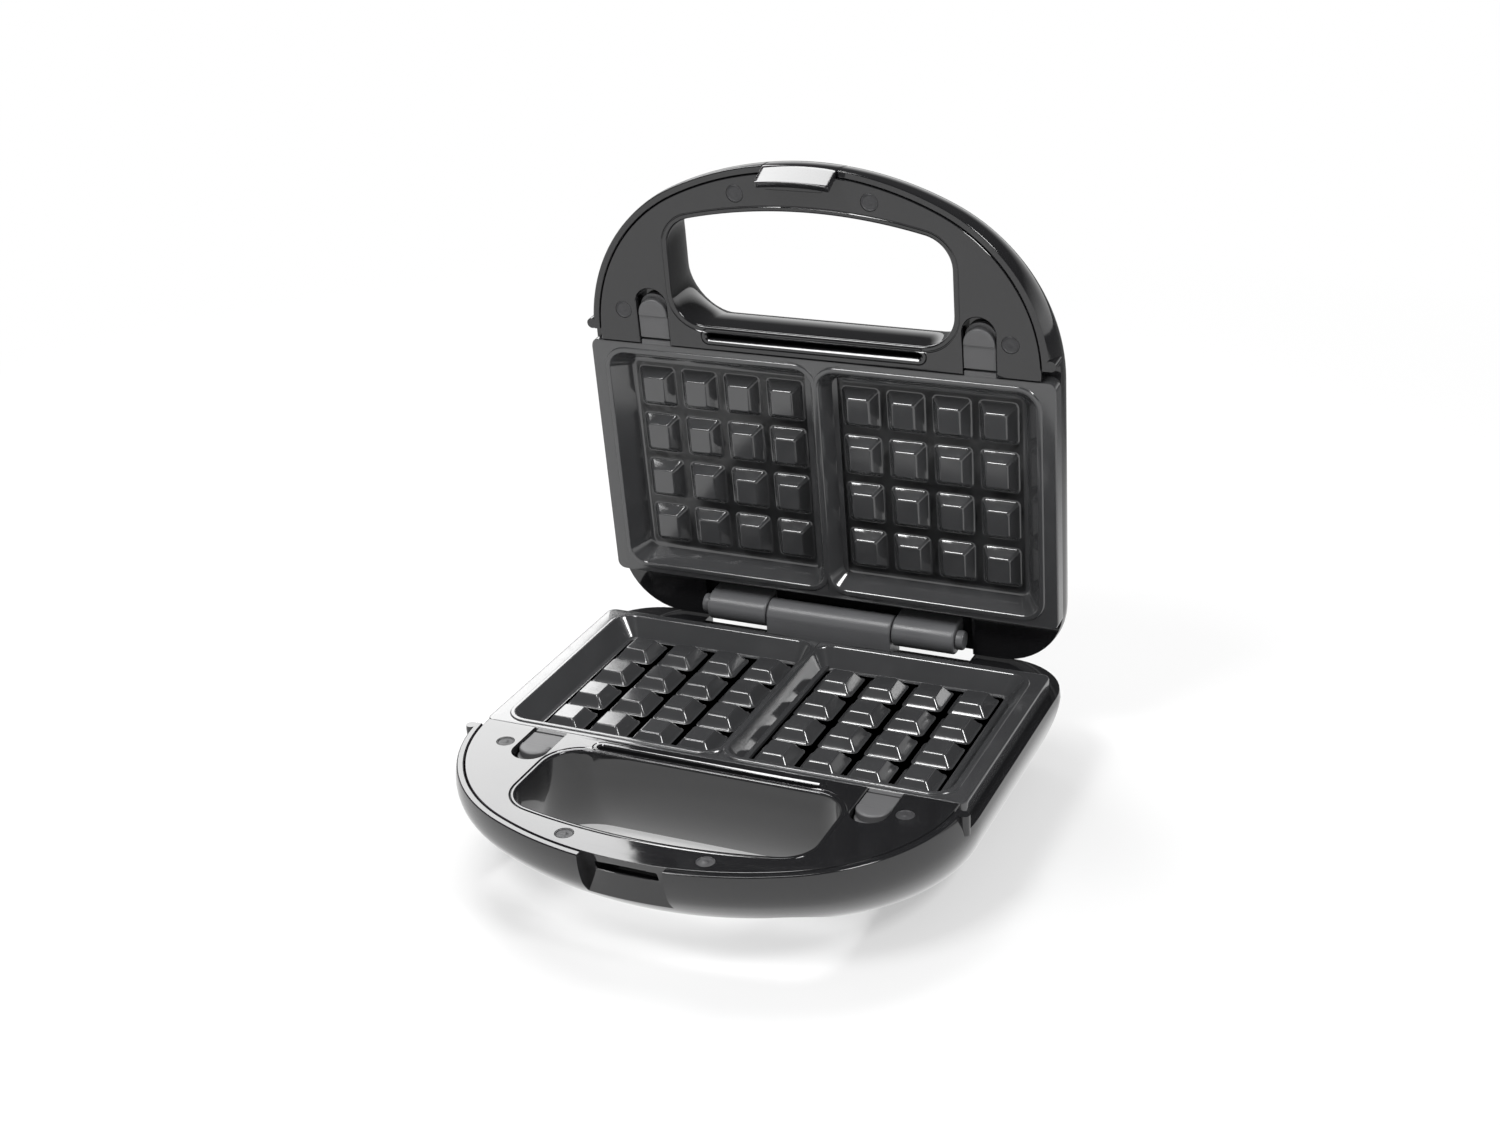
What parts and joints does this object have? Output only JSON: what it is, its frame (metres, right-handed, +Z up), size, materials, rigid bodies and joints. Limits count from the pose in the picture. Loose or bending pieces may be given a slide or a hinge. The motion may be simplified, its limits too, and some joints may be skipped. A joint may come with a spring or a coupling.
{
  "type": "waffle maker",
  "caption": "Folding electric waffle maker: two D-shaped halves with handle openings, hinged at the back, each holding a plate of tapered studs over a heating loop.",
  "frame": {"origin": "middle of the footprint box on the surface that the feet stand on, with the lid open", "axes": "X across the plates, Y from the handle to the hinge, Z up"},
  "size_m": [0.23, 0.2598, 0.2706],
  "materials": {
    "gloss_black": "polished black moulding",
    "coated_plate": "dark non-stick coating",
    "hinge_grey": "satin charcoal moulding",
    "tab_grey": "dark grey moulding",
    "plug_grey": "satin grey moulding",
    "bare_sheet": "plain sheet",
    "heater_sheath": "heat-tinted sheath",
    "black_rubber": "matt rubber",
    "steel": "plated steel",
    "red_lens": "clear red lens",
    "green_lens": "clear green lens",
    "white_ceramic": "off-white ceramic",
    "wire_sleeve": "woven heat sleeve",
    "board_green": "plain board"
  },
  "bodies": {
    "base": {"base_shell": "gloss_black", "base_deck": "gloss_black", "base_plate": "coated_plate", "base_reflector_pan": "bare_sheet", "base_heater": "heater_sheath", "base_heater_clips": "bare_sheet", "base_thermostat": "bare_sheet", "base_thermal_fuse": "white_ceramic", "base_terminal_block": "white_ceramic", "base_wiring": "wire_sleeve", "base_cord_inlet": "black_rubber", "base_deck_screws": "steel", "base_screw_plugs": "plug_grey", "base_rubber_feet": "black_rubber", "base_hinge_knuckle": "hinge_grey", "base_hinge_screws": "steel", "hinge_pin": "steel", "base_release_springs": "steel"},
    "lid": {"lid_shell": "gloss_black", "lid_deck": "gloss_black", "lid_plate": "coated_plate", "lid_reflector_pan": "bare_sheet", "lid_heater": "heater_sheath", "lid_heater_clips": "bare_sheet", "lid_thermostat": "bare_sheet", "lid_wiring": "wire_sleeve", "lid_deck_screws": "steel", "lid_screw_plugs": "plug_grey", "lid_hinge_knuckle_left": "hinge_grey", "lid_hinge_knuckle_right": "hinge_grey", "lid_hinge_screws": "steel", "lid_release_springs": "steel", "lid_latch_pin": "steel", "lid_latch_spring": "steel", "lid_power_lamp": "red_lens", "lid_ready_lamp": "green_lens", "lid_lamp_board": "board_green"},
    "latch": {"lid_latch": "gloss_black"},
    "base_release_left": {"base_release_tab_left": "tab_grey"},
    "base_release_right": {"base_release_tab_right": "tab_grey"},
    "lid_release_left": {"lid_release_tab_left": "tab_grey"},
    "lid_release_right": {"lid_release_tab_right": "tab_grey"}
  },
  "joints": [
    {"name": "lid_hinge", "type": "hinge", "parent": "base", "child": "lid", "pos_m": [0, 0.09071, 0.0497], "axis": [1, 0, 0], "range_deg": [0, 85]},
    {"name": "latch_pivot", "type": "hinge", "parent": "lid", "child": "latch", "pos_m": [0, 0.08777, 0.25884], "axis": [-1, 0, 0], "range_deg": [0, 25], "stiffness_Nm_per_rad": 0.05, "springref_deg": -11.46},
    {"name": "base_release_left_slide", "type": "slide", "parent": "base", "child": "base_release_left", "axis": [0, -1, 0], "range_m": [0, 0.003], "stiffness_N_per_m": 200, "springref_m": -0.003},
    {"name": "base_release_right_slide", "type": "slide", "parent": "base", "child": "base_release_right", "axis": [0, -1, 0], "range_m": [0, 0.003], "stiffness_N_per_m": 200, "springref_m": -0.003},
    {"name": "lid_release_left_slide", "type": "slide", "parent": "lid", "child": "lid_release_left", "axis": [0, -0.0872, 0.9962], "range_m": [0, 0.003], "stiffness_N_per_m": 200, "springref_m": -0.003},
    {"name": "lid_release_right_slide", "type": "slide", "parent": "lid", "child": "lid_release_right", "axis": [0, -0.0872, 0.9962], "range_m": [0, 0.003], "stiffness_N_per_m": 200, "springref_m": -0.003}
  ]
}
